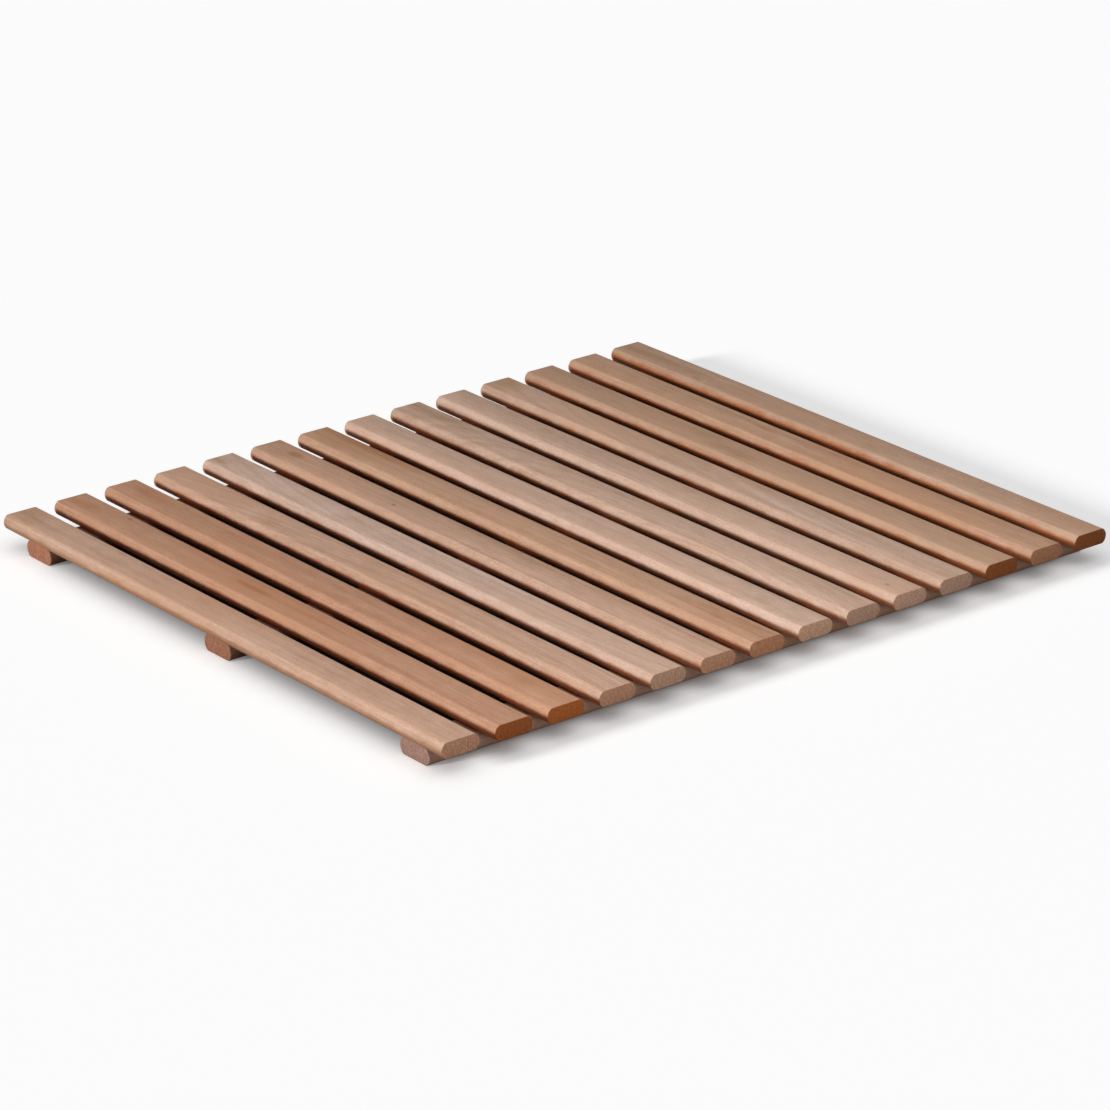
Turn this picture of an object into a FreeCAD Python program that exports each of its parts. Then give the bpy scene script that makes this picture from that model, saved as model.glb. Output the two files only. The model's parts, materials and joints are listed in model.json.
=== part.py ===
import os

import FreeCAD, Part

# Slatted wooden bath mat (duckboard). Fourteen parallel slats lie side by side with drain gaps
# between them. Three slightly thicker rounded battens run across underneath, and at every crossing
# two countersunk wood screws go up through the batten into the slat, so nothing shows on top.
#
# The slats run along X and the battens along Y, and +Z is up. The origin is on the floor, under the
# middle of the mat. Lengths are in millimetres.

# Overall size
mat_length = 800.0            # along Y, over the outer edges of the first and last slat
slat_length = 700.0           # along X, which is the mat's width
slat_count = 14

# Slat stock
slat_width = 41.5
slat_thickness = 15.5
slat_edge_bulge = 5.0         # how far the rounded edge stands out past the flat faces

# Batten stock
batten_width = 42.5
batten_thickness = 17.0
batten_edge_bulge = 5.0
batten_names = ["left", "middle", "right"]
batten_inset_left = 54.0      # from the slats' left ends to the middle of the left batten
batten_inset_right = 46.0     # from the slats' right ends to the middle of the right batten
batten_setback = 5.0          # from a batten's end to the outer edge of the first or last slat

end_arris = 0.6               # the sanded corner round the sawn ends of slats and battens

# Countersunk wood screws
screw_diameter = 3.5
screw_head_diameter = 7.0
screw_head_land = 0.4         # height of the head's straight rim, under its 90 degree cone
screw_head_sink = 1.0         # from the batten's floor face up to the head
screw_cover = 6.5             # wood left between the screw's point and the top of the slat
screw_point_length = 4.0
screw_edge_margin = 6.75      # from a screw's axis to the edge of the flat face it goes through
head_clearance = 0.15         # round the head's rim
shank_clearance = 0.25        # round the shank in the batten; in the slat the thread grips
drive_core_diameter = 2.6     # six-lobe drive recess in the head
drive_lobe_diameter = 0.9
drive_lobe_circle = 2.9
drive_lobe_count = 6
drive_depth = 1.6

# Places that follow from the sizes
slat_pitch = (mat_length - slat_width) / (slat_count - 1)
slat_rows = [slat_pitch * (i - (slat_count - 1) / 2) for i in range(slat_count)]
batten_length = mat_length - 2 * batten_setback
batten_pitch = (slat_length - batten_inset_left - batten_inset_right) / (len(batten_names) - 1)
batten_columns = [batten_inset_left - slat_length / 2 + batten_pitch * i for i in range(len(batten_names))]
screw_offset_x = batten_width / 2 - batten_edge_bulge - screw_edge_margin
screw_offset_y = slat_width / 2 - slat_edge_bulge - screw_edge_margin
head_radius = screw_head_diameter / 2
shank_radius = screw_diameter / 2
cone_foot = screw_head_sink + screw_head_land
cone_tip = cone_foot + head_radius - shank_radius
screw_point = batten_thickness + slat_thickness - screw_cover

ORIGIN = FreeCAD.Vector(0, 0, 0)
UP = FreeCAD.Vector(0, 0, 1)
ALONG = FreeCAD.Vector(1, 0, 0)


def inside_edge(side, length, width, thickness, edge_bulge):
    """All that lies inside one rounded long edge: a cylinder with the end arris, and a block behind it."""
    radius = ((thickness / 2) ** 2 + edge_bulge ** 2) / (2 * edge_bulge)
    axis_start = FreeCAD.Vector(-length / 2, side * (width / 2 - radius), thickness / 2)
    cylinder = Part.makeCylinder(radius, length, axis_start, ALONG)
    end_circles = [edge for edge in cylinder.Edges if edge.BoundBox.XLength < end_arris]
    block_corner = axis_start - FreeCAD.Vector(0, width if side > 0 else 0, radius)
    block = Part.makeBox(length, width, 2 * radius, block_corner)
    return cylinder.makeChamfer(end_arris, end_circles).fuse(block)


def rounded_bar(length, width, thickness, edge_bulge):
    """A bar along X that lies on Z = 0: flat above and below, an arc down each long edge, sawn ends."""
    slab = Part.makeBox(length, width, thickness, FreeCAD.Vector(-length / 2, -width / 2, 0))
    end_edges = [edge for edge in slab.Edges if edge.BoundBox.YLength > width / 2]
    slab = slab.makeChamfer(end_arris, end_edges)
    for side in (-1, 1):
        slab = slab.common(inside_edge(side, length, width, thickness, edge_bulge))
    return slab.removeSplitter()


def turned(corners):
    """A solid turned about Z, from the (radius, height) corners of half its outline."""
    points = [FreeCAD.Vector(radius, 0, height) for radius, height in corners]
    return Part.Face(Part.makePolygon(points + points[:1])).revolve(ORIGIN, UP, 360)


def screw_blank():
    """A screw that points up, on the Z axis, before its drive recess is pressed in."""
    return turned([
        (0, screw_head_sink),
        (head_radius, screw_head_sink),
        (head_radius, cone_foot),
        (shank_radius, cone_tip),
        (shank_radius, screw_point - screw_point_length),
        (0, screw_point),
    ])


def screw_hole():
    """The hole through a batten: a pocket for the head, the cone that the head seats on, the bore."""
    pocket_radius = head_radius + head_clearance
    bore_radius = shank_radius + shank_clearance
    return turned([
        (0, 0),
        (pocket_radius, 0),
        (pocket_radius, cone_foot - head_clearance),
        (bore_radius, cone_tip - shank_clearance),
        (bore_radius, batten_thickness),
        (0, batten_thickness),
    ])


def drive_recess():
    """The six-lobe socket in a screw's head, as the solid that is cut away."""
    base = FreeCAD.Vector(0, 0, screw_head_sink)
    socket = Part.makeCylinder(drive_core_diameter / 2, drive_depth, base)
    lobe_base = base + FreeCAD.Vector(drive_lobe_circle / 2, 0, 0)
    for i in range(drive_lobe_count):
        lobe = Part.makeCylinder(drive_lobe_diameter / 2, drive_depth, lobe_base)
        lobe.rotate(ORIGIN, UP, 360 / drive_lobe_count * i)
        socket = socket.fuse(lobe)
    return socket.removeSplitter()


def at_crossings(solid, columns, rows):
    """Copies of a solid at the screws' places: two at each crossing, on a diagonal of it."""
    copies = []
    for column in columns:
        for row in rows:
            for side in (-1, 1):
                copy = solid.copy()
                copy.translate(FreeCAD.Vector(column + side * screw_offset_x, row + side * screw_offset_y, 0))
                copies.append(copy)
    return Part.makeCompound(copies)


def slat(row):
    """One slat on top of the battens, with the blind holes that its screws cut."""
    bar = rounded_bar(slat_length, slat_width, slat_thickness, slat_edge_bulge)
    bar.translate(FreeCAD.Vector(0, row, batten_thickness))
    return bar.cut(at_crossings(screw_blank(), batten_columns, [row]))


def batten(column):
    """One batten across all the slats, with a countersunk hole for each of its screws."""
    bar = rounded_bar(batten_length, batten_width, batten_thickness, batten_edge_bulge)
    bar.rotate(ORIGIN, UP, 90)
    bar.translate(FreeCAD.Vector(column, 0, 0))
    return bar.cut(at_crossings(screw_hole(), [column], slat_rows))


def screws(column):
    """All the screws that go up through one batten, as separate solids."""
    return at_crossings(screw_blank().cut(drive_recess()), [column], slat_rows)


os.makedirs("parts", exist_ok=True)
for number, row in enumerate(slat_rows, start=1):
    slat(row).exportStep(f"parts/slat_{number:02d}.step")
for name, column in zip(batten_names, batten_columns):
    batten(column).exportStep(f"parts/batten_{name}.step")
    screws(column).exportStep(f"parts/screws_{name}.step")
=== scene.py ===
import json
import math
import random

import bmesh
import bpy
from mathutils import Matrix, Vector


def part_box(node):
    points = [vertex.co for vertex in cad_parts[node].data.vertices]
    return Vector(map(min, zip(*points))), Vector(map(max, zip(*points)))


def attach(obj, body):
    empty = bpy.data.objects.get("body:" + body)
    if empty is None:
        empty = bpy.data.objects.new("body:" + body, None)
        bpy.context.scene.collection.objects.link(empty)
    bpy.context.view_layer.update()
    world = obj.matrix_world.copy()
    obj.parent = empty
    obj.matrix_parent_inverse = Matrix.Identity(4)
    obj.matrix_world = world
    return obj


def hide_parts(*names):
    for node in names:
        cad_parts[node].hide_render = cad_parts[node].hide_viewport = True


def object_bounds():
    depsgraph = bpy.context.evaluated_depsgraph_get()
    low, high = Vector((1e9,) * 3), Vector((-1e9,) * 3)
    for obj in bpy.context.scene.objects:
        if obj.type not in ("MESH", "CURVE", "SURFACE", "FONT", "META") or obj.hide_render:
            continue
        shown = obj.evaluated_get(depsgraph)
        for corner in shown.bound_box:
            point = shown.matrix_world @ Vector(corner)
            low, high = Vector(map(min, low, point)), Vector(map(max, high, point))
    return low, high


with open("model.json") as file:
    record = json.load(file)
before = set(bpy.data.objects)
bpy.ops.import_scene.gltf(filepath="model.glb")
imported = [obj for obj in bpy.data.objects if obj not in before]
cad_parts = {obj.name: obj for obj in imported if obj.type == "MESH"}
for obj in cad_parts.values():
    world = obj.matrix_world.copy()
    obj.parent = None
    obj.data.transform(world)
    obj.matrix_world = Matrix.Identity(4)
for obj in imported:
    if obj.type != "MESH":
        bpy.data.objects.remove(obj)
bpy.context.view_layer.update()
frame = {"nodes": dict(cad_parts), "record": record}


# --- Camera -----------------------------------------------------------------------------------
# A long lens from the front right, about four and a half metres off, a little above the mat. It
# looks at a point just right of the middle of the slats' tops.
mat_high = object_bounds()[1]
camera_azimuth = math.radians(51.6)
camera_elevation = math.radians(21.9)
camera_roll = math.radians(-0.4)
camera_distance = 4.53
aim = Vector((0.07, -0.052, mat_high.z))

camera = bpy.data.objects.new("camera", bpy.data.cameras.new("camera"))
bpy.context.scene.collection.objects.link(camera)
bpy.context.scene.camera = camera
camera.data.sensor_width = 36.0
camera.data.lens = 155.4
back = Vector((
    math.sin(camera_azimuth) * math.cos(camera_elevation),
    -math.cos(camera_azimuth) * math.cos(camera_elevation),
    math.sin(camera_elevation),
))
camera.rotation_mode = "QUATERNION"
camera.location = aim + back * camera_distance
roll = Matrix.Rotation(camera_roll, 3, "Z").to_quaternion()
camera.rotation_quaternion = (-back).to_track_quat("-Z", "Y") @ roll
camera.data.clip_start = 0.1
camera.data.clip_end = 200.0


# --- Studio -----------------------------------------------------------------------------------
# A plain pale floor under a soft overhead light, with a low key light from the front and a soft fill
# from the right. The floor throws little light back, and has a shadow painted dark under the mat.
class Wire:
    """One output socket of a material. Sums of wires add Math nodes; add() makes any other node."""

    def __init__(self, tree, socket=None):
        self.tree = tree
        self.socket = socket

    def add(self, kind, settings, inputs, output=0):
        node = self.tree.nodes.new(kind)
        for name, value in settings.items():
            setattr(node, name, value)
        for name, value in inputs.items():
            if isinstance(value, Wire):
                self.tree.links.new(value.socket, node.inputs[name])
            else:
                node.inputs[name].default_value = value
        return Wire(self.tree, node.outputs[output])

    def math(self, operation, *values):
        return self.add("ShaderNodeMath", {"operation": operation}, dict(enumerate(values)))

    def __add__(self, other):
        return self.math("ADD", self, other)

    def __radd__(self, other):
        return self.math("ADD", other, self)

    def __sub__(self, other):
        return self.math("SUBTRACT", self, other)

    def __rsub__(self, other):
        return self.math("SUBTRACT", other, self)

    def __mul__(self, other):
        return self.math("MULTIPLY", self, other)

    def __rmul__(self, other):
        return self.math("MULTIPLY", other, self)

    def __truediv__(self, other):
        return self.math("DIVIDE", self, other)

    def smooth(self, low, high):
        """0 up to low and 1 from high on, with a smooth rise between."""
        settings = {"interpolation_type": "SMOOTHSTEP", "clamp": True}
        return self.add("ShaderNodeMapRange", settings, {"Value": self, "From Min": low, "From Max": high})

    def mix(self, colour, other):
        """The first colour where this wire is 0, and the other where it is 1."""
        settings = {"data_type": "RGBA", "clamp_factor": True}
        return self.add("ShaderNodeMix", settings, {0: self, 6: colour, 7: other}, output=2)

    def moved(self, step):
        return self.add("ShaderNodeVectorMath", {"operation": "ADD"}, {0: self, 1: step})

    def scaled(self, scale):
        return self.add("ShaderNodeVectorMath", {"operation": "MULTIPLY"}, {0: self, 1: scale})

    def length(self):
        return self.add("ShaderNodeVectorMath", {"operation": "LENGTH"}, {0: self}, output=1)

    def noise(self, scale, detail=2.0, roughness=0.5):
        """Noise between 0 and 1, with a wavelength of one over the scale, in metres, on each axis."""
        inputs = {"Vector": self.scaled(scale), "Scale": 1.0, "Detail": detail, "Roughness": roughness}
        return self.add("ShaderNodeTexNoise", {}, inputs)


def studio_light(name, kind, energy, place, target, size):
    light = bpy.data.objects.new(name, bpy.data.lights.new(name, kind))
    light.data.energy = energy
    if kind == "SUN":
        light.data.angle = size
    else:
        light.data.size = size
    light.location = place
    light.rotation_mode = "QUATERNION"
    light.rotation_quaternion = (Vector(target) - Vector(place)).to_track_quat("-Z", "Y")
    bpy.context.scene.collection.objects.link(light)
    return light


studio_light("key_light", "SUN", 2.6, (-0.5, -3.0, 0.95), (0, 0, 0), math.radians(10))
fill_light = studio_light("right_fill_light", "AREA", 20.0, (2.0, -0.3, 0.45), (0.35, 0, 0), 1.0)

world = bpy.data.worlds.new("studio")
bpy.context.scene.world = world
world.use_nodes = True
sky = Wire(world.node_tree)
direction = sky.add("ShaderNodeTexCoord", {}, {}, output=0)
height = direction.add("ShaderNodeSeparateXYZ", {}, {"Vector": direction}, output=2)
seen = sky.add("ShaderNodeLightPath", {}, {}, output=0)
strength = height.smooth(0.45, 0.95) * 1.08 * (1.0 - seen) + seen * 0.97
backdrop = world.node_tree.nodes["Background"]
backdrop.inputs["Color"].default_value = (1.0, 1.0, 1.0, 1.0)
world.node_tree.links.new(strength.socket, backdrop.inputs["Strength"])
bpy.context.scene.view_settings.view_transform = "Standard"

floor_mesh = bmesh.new()
bmesh.ops.create_circle(floor_mesh, cap_ends=True, segments=64, radius=60.0)
floor = bpy.data.objects.new("floor", bpy.data.meshes.new("floor"))
floor_mesh.to_mesh(floor.data)
floor_mesh.free()
bpy.context.scene.collection.objects.link(floor)
floor_paint = bpy.data.materials.new("floor_paint")
floor_paint.use_nodes = True
floor_shader = floor_paint.node_tree.nodes["Principled BSDF"]
floor_place = Wire(floor_paint.node_tree).add("ShaderNodeTexCoord", {}, {}, output=3)
looked_at = floor_place.add("ShaderNodeLightPath", {}, {}, output=0)
# Painted shadow: the floor is painted near black inside the mat's outline, fading out over shade_blur at its
# edges, and has no glow there.
painted_mat_shadow = 1.0
shade_blur = 0.05
for axis, edge in enumerate((mat_high.x, mat_high.y)):
    reach = floor_place.add("ShaderNodeSeparateXYZ", {}, {"Vector": floor_place}, output=axis)
    painted_mat_shadow = (1.0 - reach.math("ABSOLUTE", reach).smooth(edge - shade_blur, edge)) * painted_mat_shadow
floor_colour = looked_at.mix((0.25, 0.25, 0.25, 1.0), (0.90, 0.90, 0.90, 1.0))
floor_colour = painted_mat_shadow.mix(floor_colour, (0.015, 0.014, 0.013, 1.0))
floor_paint.node_tree.links.new(floor_colour.socket, floor_shader.inputs["Base Color"])
floor_glow = looked_at * (1.0 - painted_mat_shadow) * 0.27
floor_glow = floor_glow.mix((0.0, 0.0, 0.0, 1.0), (1.0, 1.0, 1.0, 1.0))
floor_paint.node_tree.links.new(floor_glow.socket, floor_shader.inputs["Emission Color"])
floor_shader.inputs["Emission Strength"].default_value = 1.0
floor_shader.inputs["Roughness"].default_value = 0.9
floor.data.materials.append(floor_paint)

# The fill light stands close by, so the floor is left out of its reach: it would glare there.
fill_skips = bpy.data.collections.new("fill_light_skips")
fill_skips.objects.link(floor)
fill_skips.collection_objects[0].light_linking.link_state = "EXCLUDE"
fill_light.light_linking.receiver_collection = fill_skips


# --- Slats ------------------------------------------------------------------------------------
# Fourteen bars of sanded, untreated wood, planed flat above and below with an arc down each long
# edge, and sawn square. Each is cut from another board, so colour, rings and stains differ, and the
# open end grain is darker than the faces. Their undersides have a blind hole for each screw's point.
def shade(colour, amount):
    return tuple(channel * amount for channel in colour[:3]) + (1.0,)


# The tones that the boards came in, each as the colour of a sanded face and of sawn end grain.
SANDY = ((0.58, 0.40, 0.31), (0.38, 0.22, 0.14))
ROSY = ((0.52, 0.35, 0.26), (0.33, 0.19, 0.13))
TAN = ((0.54, 0.34, 0.24), (0.34, 0.17, 0.10))
RUST = ((0.47, 0.28, 0.18), (0.31, 0.14, 0.07))
AMBER = ((0.48, 0.26, 0.16), (0.23, 0.06, 0.01))
CHESTNUT = ((0.44, 0.28, 0.19), (0.18, 0.05, 0.01))

# The tints that stains give the wood.
ORANGE = (0.85, 0.66, 0.48)
BROWN = (0.80, 0.73, 0.62)
PALE = (1.07, 1.13, 1.22)
FLECK = (0.50, 0.40, 0.32)


def wood(name, board, middle, turn, length, seed):
    """Bare sanded wood for a bar along the pattern's X. middle and turn put the pattern on the bar.

    board gives the colours of face and sawn end, the heart of the tree (along, across and up from the
    bar's middle), its lean, the width of a growth ring, how strongly the rings show, the tint of the
    painted shade on the lower rounded edges and how far up the edge it reaches, and the stains: each is
    along, across, reach and width in metres, strength, and the tint that it gives the wood.
    """
    material = bpy.data.materials.new(name)
    material.use_nodes = True
    tree = material.node_tree
    shader = tree.nodes["Principled BSDF"]
    face, end = board["face"], board["end"]
    place = Wire(tree).add("ShaderNodeTexCoord", {}, {}, output=3)
    place = place.add("ShaderNodeMapping", {"vector_type": "TEXTURE"},
                      {"Vector": place, "Location": middle, "Rotation": (0.0, 0.0, turn)})
    apart = place.moved((seed * 3.1, seed * 1.7, 0))

    # Growth rings: the distance from the heart, pushed about by slow noise. Every ring has a tone of
    # its own, and ends in a thin dark line of late wood.
    along, across, up = board["heart"]
    from_heart = place.moved((-along, -across, -up)).scaled((board["lean"], 1.0, 1.0))
    sway = apart.noise((2.6, 16.0, 16.0), detail=3.0)
    radius = from_heart.length() + (sway - 0.5) * 0.011
    layers = radius / board["ring"]
    layer_tone = layers.add("ShaderNodeTexNoise", {"noise_dimensions": "1D"},
                            {"W": layers + seed * 7.3, "Scale": 0.8, "Detail": 4.0, "Roughness": 0.6})
    ring = layers.math("FRACT", layers)
    late_wood = ring.smooth(0.45, 0.93) * (1.0 - ring.smooth(0.93, 1.0))

    # Fibres: streaks far longer than they are wide, coarse and fine, flecks, and short open pores.
    broad = apart.noise((1.3, 34.0, 34.0), detail=3.0, roughness=0.6)
    streak = apart.noise((4.0, 280.0, 280.0), detail=3.0, roughness=0.6)
    fibre = apart.noise((35.0, 750.0, 750.0), detail=2.0, roughness=0.7)
    fleck = apart.noise((320.0, 640.0, 640.0), detail=2.0, roughness=0.7)
    cloud = apart.noise((45.0, 90.0, 90.0), detail=2.0, roughness=0.6)
    pores = apart.noise((160.0, 1300.0, 1300.0), detail=1.0).smooth(0.58, 0.72)
    patch = apart.noise((3.2, 9.0, 9.0), detail=2.0)

    dark = (face[0] * 0.80, face[1] * 0.74, face[2] * 0.68, 1.0)
    light = (face[0] * 1.16, face[1] * 1.19, face[2] * 1.24, 1.0)
    warm = (face[0] * 1.05, face[1] * 0.93, face[2] * 0.80, 1.0)
    figure = board["figure"]
    tone = 0.5 + (layer_tone - 0.5) * figure * 1.2 + (broad - 0.5) * 1.2 + (streak - 0.5) * 0.8
    tone = tone + (fibre - 0.5) * 1.1 + (fleck - 0.5) * 1.1 + (cloud - 0.5) * 0.7
    colour = tone.mix(dark, light)
    colour = (patch.smooth(0.45, 0.75) * 0.6).mix(colour, warm)
    colour = (late_wood * (0.05 + 0.13 * figure)).mix(colour, shade(face, 0.62))
    colour = (pores * 0.22).mix(colour, shade(face, 0.55))
    for stain_along, stain_across, reach, width, strength, tint in board["stains"]:
        away = place.moved((-stain_along, -stain_across, 0)).scaled((1 / reach, 1 / width, 0)).length()
        ragged = away + (streak - 0.5) * 0.8 + (broad - 0.5) * 0.9
        colour = ((1.0 - ragged.smooth(0.25, 1.05)) * strength).mix(colour, colour.scaled(tint))

    # Painted shade: the lower half of a rounded edge is painted darker and warmer, the underside less so.
    height = place.add("ShaderNodeSeparateXYZ", {}, {"Vector": place}, output=2)
    edge = 0.4 + 0.6 * height.smooth(-0.0076, -0.0060)
    height = height + (cloud - 0.5) * 0.006 + (broad - 0.5) * 0.003 - board["painted_shade_reach"]
    painted_edge_shade = (1.0 - height.smooth(-0.0020, 0.0030)) * edge
    colour = painted_edge_shade.mix(colour, colour.scaled(board["painted_edge_shade"]))

    # Sawn ends: the open pores drink in more light, and the saw leaves faint upright lines.
    along_bar = place.add("ShaderNodeSeparateXYZ", {}, {"Vector": place})
    sawn = along_bar.math("ABSOLUTE", along_bar).smooth(length / 2 - 0.0007, length / 2 - 0.0003)
    pore = apart.noise((500.0, 450.0, 450.0), detail=3.0, roughness=0.7)
    saw_lines = apart.noise((60.0, 900.0, 90.0), detail=2.0)
    end_tone = (pore * 0.7 + saw_lines * 0.3).smooth(0.25, 0.75).mix(shade(end, 0.60), shade(end, 1.40))
    end_tone = (late_wood * 0.25).mix(end_tone, shade(end, 0.66))
    colour = sawn.mix(colour, end_tone)
    tree.links.new(colour.socket, shader.inputs["Base Color"])

    rough = 0.60 + fibre * 0.14 + pores * 0.08 + sawn * 0.12
    tree.links.new(rough.socket, shader.inputs["Roughness"])
    relief = fibre * 0.6 + streak * 0.3 - late_wood * 0.3 - pores * 0.8 + sawn * (pore + saw_lines)
    bump = relief.add("ShaderNodeBump", {}, {"Height": relief, "Strength": 0.4, "Distance": 0.0002})
    tree.links.new(bump.socket, shader.inputs["Normal"])
    shader.inputs["IOR"].default_value = 1.45
    shader.inputs["Specular IOR Level"].default_value = 0.35
    return material


def rounded_bar(length, width, thickness, bulge):
    """A bar along X, about the origin: flat above and below, an arc down each long edge."""
    arc_steps = 16
    crease_round = 0.0009
    end_arris = 0.0007
    flat = width / 2 - bulge
    half = thickness / 2
    radius = (half ** 2 + bulge ** 2) / (2 * bulge)
    sweep = 2 * math.asin(half / radius)
    bar = bmesh.new()
    corner = bar.verts.new((-length / 2, flat, half))
    arc_middle = (-length / 2, width / 2 - radius, 0)
    bmesh.ops.spin(bar, geom=[corner], cent=arc_middle, axis=(-1, 0, 0), angle=sweep, steps=arc_steps)
    arc = bar.verts[:] + bar.edges[:]
    bmesh.ops.mirror(bar, geom=arc, matrix=Matrix.Identity(4), merge_dist=1e-6, axis="Y")
    bmesh.ops.bridge_loops(bar, edges=bar.edges[:])
    grown = bmesh.ops.extrude_face_region(bar, geom=bar.faces[:])["geom"]
    moved = [v for v in grown if isinstance(v, bmesh.types.BMVert)]
    bmesh.ops.translate(bar, verts=moved, vec=(length, 0, 0))
    bmesh.ops.recalc_face_normals(bar, faces=bar.faces[:])
    creases = [
        e for e in bar.edges
        if abs(e.verts[0].co.x - e.verts[1].co.x) > length / 2
        and abs(abs(e.verts[0].co.y) - flat) < 1e-5
        and abs(abs(e.verts[0].co.z) - half) < 1e-5
    ]
    bmesh.ops.bevel(bar, geom=creases, offset=crease_round, segments=2, profile=0.5, affect="EDGES",
                    material=-1)
    rims = [
        e for e in bar.edges
        if len(e.link_faces) == 2
        and sorted(round(abs(f.normal.x)) for f in e.link_faces) == [0, 1]
    ]
    bmesh.ops.bevel(bar, geom=rims, offset=end_arris, segments=2, profile=0.5, affect="EDGES",
                    material=-1)
    return bar


def bored(bar, profile, centres):
    """The bar's mesh with a hole at each centre, turned from (radius, height) corners. Empties the bmesh."""
    cutter = bmesh.new()
    for centre in centres:
        turned = bmesh.new()
        corners = [turned.verts.new((radius, 0, height)) for radius, height in profile]
        line = [turned.edges.new(pair) for pair in zip(corners, corners[1:])]
        bmesh.ops.spin(turned, geom=corners + line, cent=(0, 0, 0), axis=(0, 0, 1), angle=2 * math.pi,
                       steps=24, use_merge=True)
        bmesh.ops.remove_doubles(turned, verts=turned.verts[:], dist=1e-6)
        bmesh.ops.translate(turned, verts=turned.verts[:], vec=centre)
        bmesh.ops.recalc_face_normals(turned, faces=turned.faces[:])
        hole = bpy.data.meshes.new("hole")
        turned.to_mesh(hole)
        turned.free()
        cutter.from_mesh(hole)
        bpy.data.meshes.remove(hole)
    solids = []
    for name, shape in (("blank", bar), ("cutter", cutter)):
        solid = bpy.data.objects.new(name, bpy.data.meshes.new(name))
        shape.to_mesh(solid.data)
        shape.free()
        bpy.context.scene.collection.objects.link(solid)
        solids.append(solid)
    blank, cutting = solids
    boolean = blank.modifiers.new("holes", "BOOLEAN")
    boolean.operation = "DIFFERENCE"
    boolean.solver = "EXACT"
    boolean.object = cutting
    whole = blank.evaluated_get(bpy.context.evaluated_depsgraph_get())
    mesh = bpy.data.meshes.new_from_object(whole)
    for solid in solids:
        used = solid.data
        bpy.data.objects.remove(solid)
        bpy.data.meshes.remove(used)
    return mesh


def finished(mesh, name, material):
    """The mesh as an object at the origin, smooth over its arcs and sharp at its corners."""
    mesh.name = name
    mesh.polygons.foreach_set("use_smooth", [True] * len(mesh.polygons))
    mesh.set_sharp_from_angle(angle=math.radians(35))
    mesh.materials.clear()
    mesh.materials.append(material)
    piece = bpy.data.objects.new(name, mesh)
    bpy.context.scene.collection.objects.link(piece)
    return piece


def board(tone, light=1.0, end_light=1.0, figure=0.5, heart=None, lean=None, ring=None,
          painted_edge_shade=(0.92, 0.50, 0.28), painted_shade_reach=0.0, stains=()):
    """What one bar was cut from. What isn't given is drawn at random, for straight and quiet grain."""
    face, end = tone
    return {
        "face": shade(face, light),
        "end": shade(end, end_light),
        # The tint of the painted shade on the lower rounded edges, and how far up it reaches.
        "painted_edge_shade": painted_edge_shade,
        "painted_shade_reach": painted_shade_reach,
        "figure": figure,
        "heart": heart or (0.0, boards.uniform(-0.09, 0.09), boards.uniform(-0.16, -0.05)),
        "lean": lean or boards.uniform(0.01, 0.06),
        "ring": ring or boards.uniform(0.0020, 0.0034),
        "stains": stains,
    }


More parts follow.
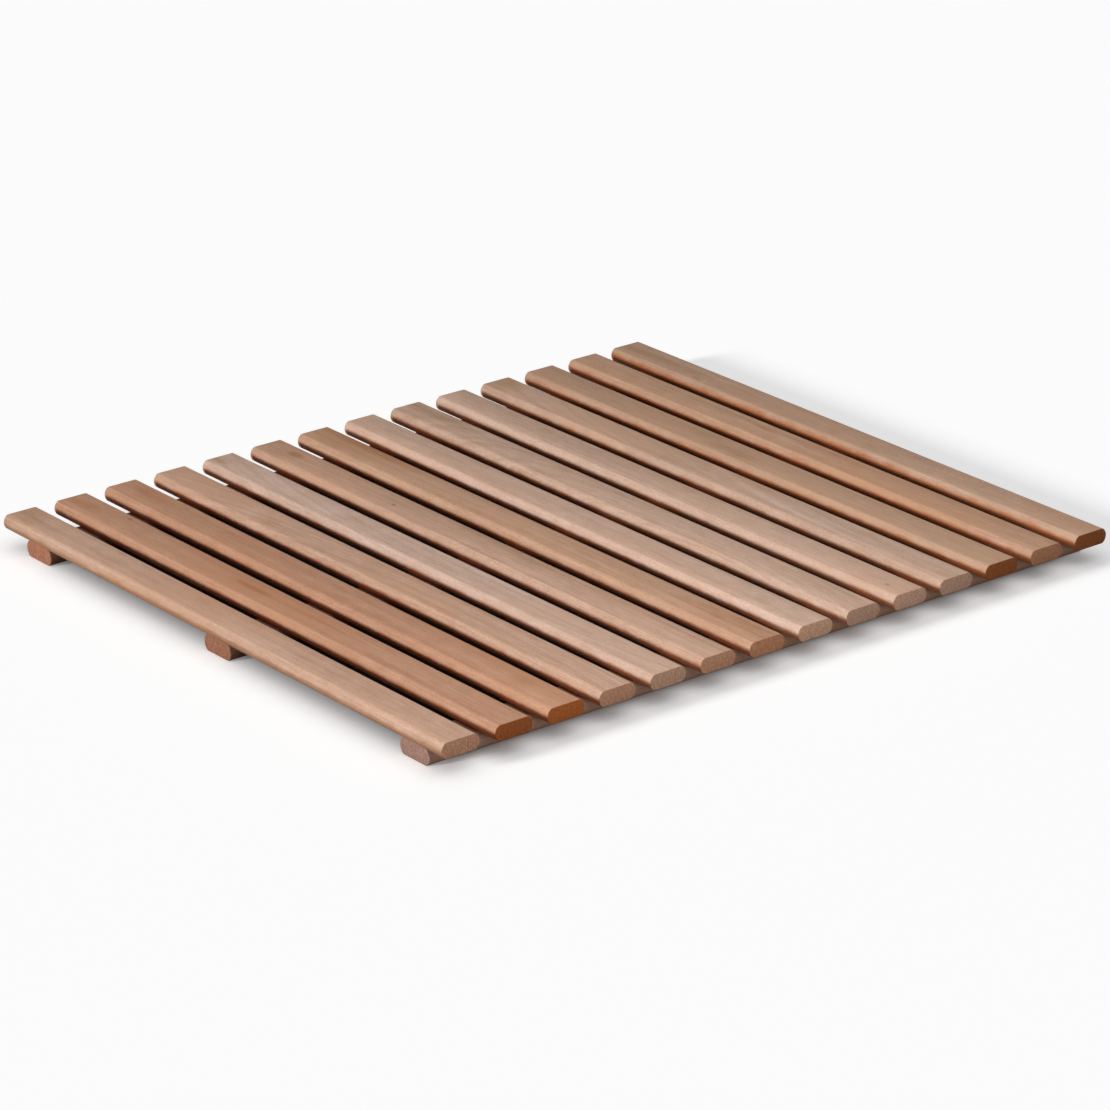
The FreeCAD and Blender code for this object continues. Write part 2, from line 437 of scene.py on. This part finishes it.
slat_bulge = 0.005
boards = random.Random(14)
slat_boards = {
    "slat_01": board(TAN, 1.02, painted_edge_shade=(0.82, 0.68, 0.55), stains=[
        (-0.045, 0.004, 0.020, 0.006, 0.35, BROWN),
        (0.050, -0.006, 0.070, 0.014, 0.60, PALE),
        (-0.340, 0.000, 0.050, 0.030, 0.60, BROWN),
    ]),
    "slat_02": board(AMBER, 1.0, 0.92, stains=[
        (-0.045, 0.001, 0.050, 0.006, 1.00, ORANGE),
        (0.060, 0.003, 0.130, 0.006, 0.45, ORANGE),
        (-0.263, 0.010, 0.006, 0.002, 0.90, FLECK),
        (-0.330, -0.002, 0.040, 0.012, 0.50, ORANGE),
    ]),
    "slat_03": board(AMBER, 1.02, 1.2, stains=[
        (-0.300, 0.005, 0.040, 0.016, 0.40, ORANGE),
        (0.285, 0.001, 0.022, 0.014, 0.30, ORANGE),
    ]),
    "slat_04": board(TAN, figure=0.8, heart=(0.12, -0.045, -0.020),
                     lean=0.15, ring=0.0042, stains=[
        (-0.168, -0.006, 0.016, 0.012, 0.30, ORANGE),
        (0.080, -0.011, 0.060, 0.004, 0.30, ORANGE),
        (-0.205, 0.000, 0.018, 0.020, 0.90, PALE),
    ]),
    "slat_05": board(SANDY, 0.98, 0.9, figure=0.7, heart=(0.06, 0.055, -0.030),
                     lean=0.17, ring=0.0050, stains=[
        (-0.345, -0.005, 0.025, 0.012, 0.70, BROWN),
        (-0.158, -0.002, 0.020, 0.022, 0.70, PALE),
        (-0.120, 0.002, 0.024, 0.010, 0.35, BROWN),
    ]),
    "slat_06": board(TAN, 0.96, stains=[
        (-0.305, 0.003, 0.014, 0.007, 1.00, BROWN),
        (-0.132, -0.004, 0.004, 0.002, 0.80, FLECK),
        (0.050, 0.012, 0.120, 0.006, 0.45, BROWN),
        (-0.340, 0.000, 0.060, 0.030, 0.40, BROWN),
    ]),
    "slat_07": board(RUST, 1.02, 1.05, stains=[
        (-0.260, 0.012, 0.120, 0.012, 0.60, ORANGE),
        (-0.290, 0.000, 0.110, 0.030, 0.50, BROWN),
        (0.320, -0.001, 0.110, 0.028, 0.40, ORANGE),
        (0.085, 0.010, 0.045, 0.004, 0.35, ORANGE),
        (0.200, -0.003, 0.060, 0.004, 0.15, ORANGE),
    ]),
    "slat_08": board(SANDY, 1.0, 1.05, figure=0.4),
    "slat_09": board(ROSY, figure=1.0, heart=(0.15, -0.032, -0.006),
                     lean=0.18, ring=0.0052, stains=[
        (-0.300, 0.006, 0.090, 0.011, 0.50, BROWN),
        (-0.105, 0.008, 0.016, 0.010, 0.25, BROWN),
    ]),
    "slat_10": board(ROSY, 1.0, 1.15, figure=0.4, stains=[
        (0.324, -0.005, 0.005, 0.003, 0.70, FLECK),
        (0.310, -0.001, 0.022, 0.005, 0.20, BROWN),
    ]),
    "slat_11": board(ROSY, 0.96, figure=0.9, heart=(0.30, 0.030, -0.012),
                     lean=0.12, ring=0.0046, stains=[
        (-0.345, 0.000, 0.045, 0.030, 0.70, BROWN),
        (-0.060, -0.009, 0.070, 0.006, 0.40, BROWN),
        (0.120, -0.004, 0.130, 0.014, 0.60, PALE),
    ]),
    # The farthest slats' painted shade reaches further up their rounded edges.
    "slat_12": board(CHESTNUT, painted_shade_reach=0.0015, stains=[
        (-0.030, -0.006, 0.060, 0.010, 0.50, BROWN),
        (-0.090, 0.007, 0.040, 0.008, 0.35, BROWN),
    ]),
    "slat_13": board(RUST, 0.96, 0.92, painted_shade_reach=0.001, stains=[
        (-0.062, 0.004, 0.024, 0.005, 0.80, ORANGE),
        (0.015, 0.009, 0.075, 0.008, 0.35, ORANGE),
        (-0.120, 0.006, 0.060, 0.006, 0.30, BROWN),
    ]),
    "slat_14": board(CHESTNUT, 0.97, 0.95, painted_shade_reach=0.003, figure=0.7, stains=[
        (-0.222, -0.010, 0.010, 0.005, 0.60, BROWN),
        (0.115, 0.009, 0.035, 0.008, 0.45, BROWN),
        (-0.300, -0.001, 0.110, 0.012, 0.60, BROWN),
    ]),
}

# The screws' places: two at each crossing, on a diagonal of it, this far in from the bars' edges.
screw_edge_distance = 0.01175
screw_head = 0.0035
screw_shank = 0.00175
cone_foot = 0.0014
screw_point = 0.026
point_length = 0.004
batten_names = ["batten_left", "batten_middle", "batten_right"]


def screw_places(slats, battens):
    places = []
    for slat in slats:
        for batten in battens:
            (slat_low, slat_high), (batten_low, batten_high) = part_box(slat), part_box(batten)
            offset_x = (batten_high.x - batten_low.x) / 2 - screw_edge_distance
            offset_y = (slat_high.y - slat_low.y) / 2 - screw_edge_distance
            x = (batten_low.x + batten_high.x) / 2
            y = (slat_low.y + slat_high.y) / 2
            places += [Vector((x + side * offset_x, y + side * offset_y, 0)) for side in (-1, 1)]
    return places


pilot_hole = [(0, 0), (screw_shank, 0), (screw_shank, screw_point - point_length), (0, screw_point)]
for number, (node, source) in enumerate(slat_boards.items(), start=1):
    low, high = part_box(node)
    middle = (low + high) / 2
    size = high - low
    material = wood(f"wood_of_{node}", source, middle, 0.0, size.x, number)
    bar = rounded_bar(size.x, size.y, size.z, slat_bulge)
    bmesh.ops.translate(bar, verts=bar.verts[:], vec=middle)
    piece = finished(bored(bar, pilot_hole, screw_places([node], batten_names)), f"{node}_bar", material)
    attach(piece, "root")
    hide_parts(node)
    slot = next(part["material_slot"] for part in frame["record"]["subparts"] if part["node"] == node)


# --- Battens ----------------------------------------------------------------------------------
# Three slightly thicker bars laid flat across underneath, their ends just inside the edge of the
# first and last slat. Each has a countersunk hole for every screw, bored from its floor face.
head_clearance = 0.00015
shank_clearance = 0.00025
overshoot = 0.001
BRICK = ((0.29, 0.15, 0.10), (0.38, 0.16, 0.09))
CLAY = ((0.30, 0.18, 0.13), (0.35, 0.20, 0.15))
pocket = screw_head + head_clearance
bore = screw_shank + shank_clearance
batten_boards = {
    # The battens' lower rounded edges get only a faint painted shade.
    "batten_left": board(BRICK, 1.03, 1.08, painted_edge_shade=(0.95, 0.90, 0.85)),
    "batten_middle": board(BRICK, 0.96, 0.9, painted_edge_shade=(0.95, 0.90, 0.85)),
    "batten_right": board(CLAY, painted_edge_shade=(0.95, 0.90, 0.85)),
}
for number, (node, source) in enumerate(batten_boards.items(), start=20):
    low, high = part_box(node)
    middle = (low + high) / 2
    size = high - low
    material = wood(f"wood_of_{node}", source, middle, math.pi / 2, size.y, number)
    bar = rounded_bar(size.y, size.x, size.z, slat_bulge)
    bmesh.ops.rotate(bar, verts=bar.verts[:], cent=(0, 0, 0), matrix=Matrix.Rotation(math.pi / 2, 3, "Z"))
    bmesh.ops.translate(bar, verts=bar.verts[:], vec=middle)
    countersunk = [
        (0, -overshoot),
        (pocket, -overshoot),
        (pocket, cone_foot - head_clearance),
        (bore, cone_foot + screw_head - bore),
        (bore, high.z + overshoot),
        (0, high.z + overshoot),
    ]
    piece = finished(bored(bar, countersunk, screw_places(slat_boards, [node])), f"{node}_bar", material)
    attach(piece, "root")
    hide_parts(node)


# --- Screws -----------------------------------------------------------------------------------
# Plain stainless countersunk wood screws with a six-lobe drive, sunk a millimetre into the battens
# from below, so only their heads show, and only from underneath.
steel = bpy.data.materials.new("screw_steel_finish")
steel.use_nodes = True
steel_shader = steel.node_tree.nodes["Principled BSDF"]
steel_place = Wire(steel.node_tree).add("ShaderNodeTexCoord", {}, {}, output=3)
scratches = steel_place.noise((2500.0, 2500.0, 9000.0), detail=3.0, roughness=0.7)
smudge = steel_place.noise((160.0, 160.0, 160.0), detail=2.0)
steel_colour = smudge.mix((0.50, 0.49, 0.47, 1.0), (0.66, 0.65, 0.63, 1.0))
steel.node_tree.links.new(steel_colour.socket, steel_shader.inputs["Base Color"])
steel_rough = 0.24 + scratches * 0.18 + smudge * 0.12
steel.node_tree.links.new(steel_rough.socket, steel_shader.inputs["Roughness"])
steel_bump = scratches.add("ShaderNodeBump", {}, {"Height": scratches, "Strength": 0.2, "Distance": 0.00005})
steel.node_tree.links.new(steel_bump.socket, steel_shader.inputs["Normal"])
steel_shader.inputs["Metallic"].default_value = 1.0
for node in ("screws_left", "screws_middle", "screws_right"):
    heads = frame["nodes"][node].data
    heads.materials.clear()
    heads.materials.append(steel)
